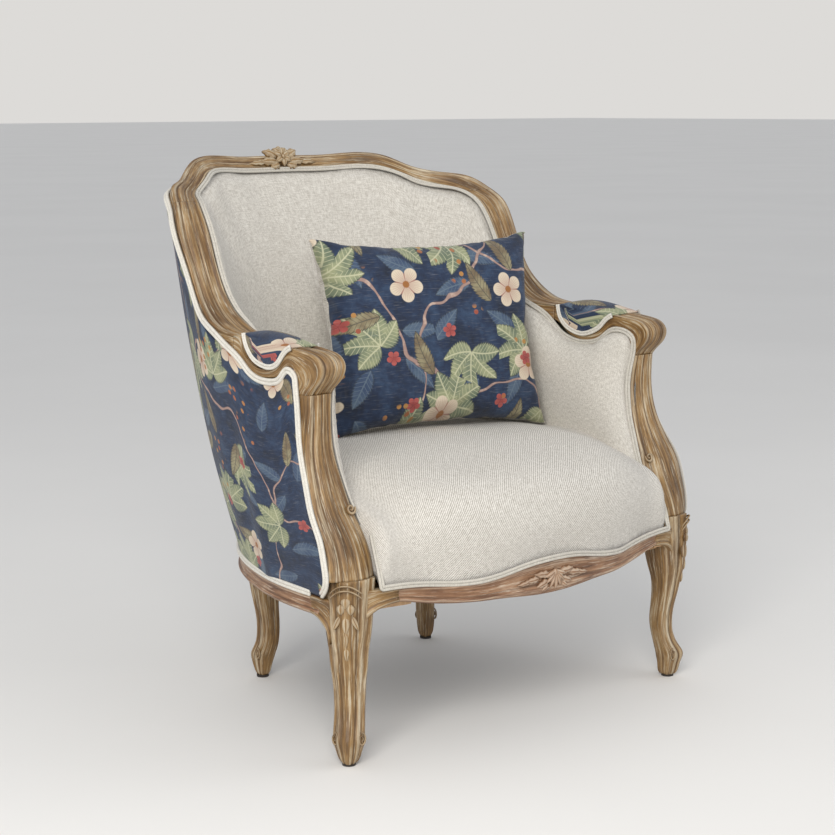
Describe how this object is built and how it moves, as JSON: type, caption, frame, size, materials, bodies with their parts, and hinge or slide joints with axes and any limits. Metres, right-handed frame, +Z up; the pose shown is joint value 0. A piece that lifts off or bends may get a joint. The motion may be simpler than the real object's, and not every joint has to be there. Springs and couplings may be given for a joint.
{
  "type": "bergere armchair",
  "caption": "Tub-shaped upholstered armchair with a carved show-wood frame on curved legs, a tight sprung seat and a loose back cushion that lifts off.",
  "frame": {"origin": "On the floor, under the middle of the chair's overall box.", "axes": "+Z is up, the chair's front faces -Y, and +X is on the right of someone who looks at its front."},
  "size_m": [0.818, 0.7934, 0.9503],
  "materials": {
    "limed_oak": "limed, waxed, worn along the edges",
    "beech_frame": "sawn and sanded, unfinished",
    "linen": "woven linen with slubs, matt",
    "printed_cloth": null,
    "grey_welt": "double welt, woven",
    "white_welt": "double welt, woven",
    "foam": "soft padding",
    "hessian": "open jute weave",
    "dust_cloth": "thin black cloth",
    "zinc_steel": "zinc plated",
    "glide": "matt"
  },
  "bodies": {
    "chair": {"front_leg_right": "limed_oak", "front_leg_left": "limed_oak", "rear_leg_right": "limed_oak", "rear_leg_left": "limed_oak", "arm_post_right": "limed_oak", "arm_post_left": "limed_oak", "arm_rail_right": "limed_oak", "arm_rail_left": "limed_oak", "back_stile_right": "limed_oak", "back_stile_left": "limed_oak", "side_rail_right": "limed_oak", "side_rail_left": "limed_oak", "back_upright_right": "beech_frame", "back_upright_left": "beech_frame", "arm_tacking_rail_right": "beech_frame", "arm_tacking_rail_left": "beech_frame", "front_corner_block_right": "beech_frame", "front_corner_block_left": "beech_frame", "rear_corner_block_right": "beech_frame", "rear_corner_block_left": "beech_frame", "outside_arm_cover_right": "printed_cloth", "outside_arm_cover_left": "printed_cloth", "inside_arm_cover_right": "linen", "inside_arm_cover_left": "linen", "inside_arm_padding_right": "foam", "inside_arm_padding_left": "foam", "arm_pad_right": "printed_cloth", "arm_pad_left": "printed_cloth", "arm_pad_welt_right": "white_welt", "arm_pad_welt_left": "white_welt", "crest_rail": "limed_oak", "crest_carving": "limed_oak", "front_rail": "limed_oak", "apron_carving": "limed_oak", "back_rail": "limed_oak", "back_tacking_rail": "beech_frame", "block_screws": "zinc_steel", "frame_dowels": "beech_frame", "seat_springs": "zinc_steel", "spring_clips": "zinc_steel", "hessian": "hessian", "seat_padding": "foam", "seat_cover": "linen", "dust_cloth": "dust_cloth", "inside_back_padding": "foam", "inside_back_cover": "linen", "outside_back_cover": "printed_cloth", "inside_welt": "grey_welt", "outside_welt": "white_welt", "rail_welt": "white_welt", "seat_welt": "grey_welt", "foot_glides": "glide"},
    "cushion": {"cushion_front": "printed_cloth", "cushion_back": "linen", "cushion_filling": "foam"}
  },
  "joints": [
    {"name": "cushion_lift", "type": "slide", "parent": "chair", "child": "cushion", "axis": [0, 0, 1], "range_m": [0, 0.55]}
  ]
}
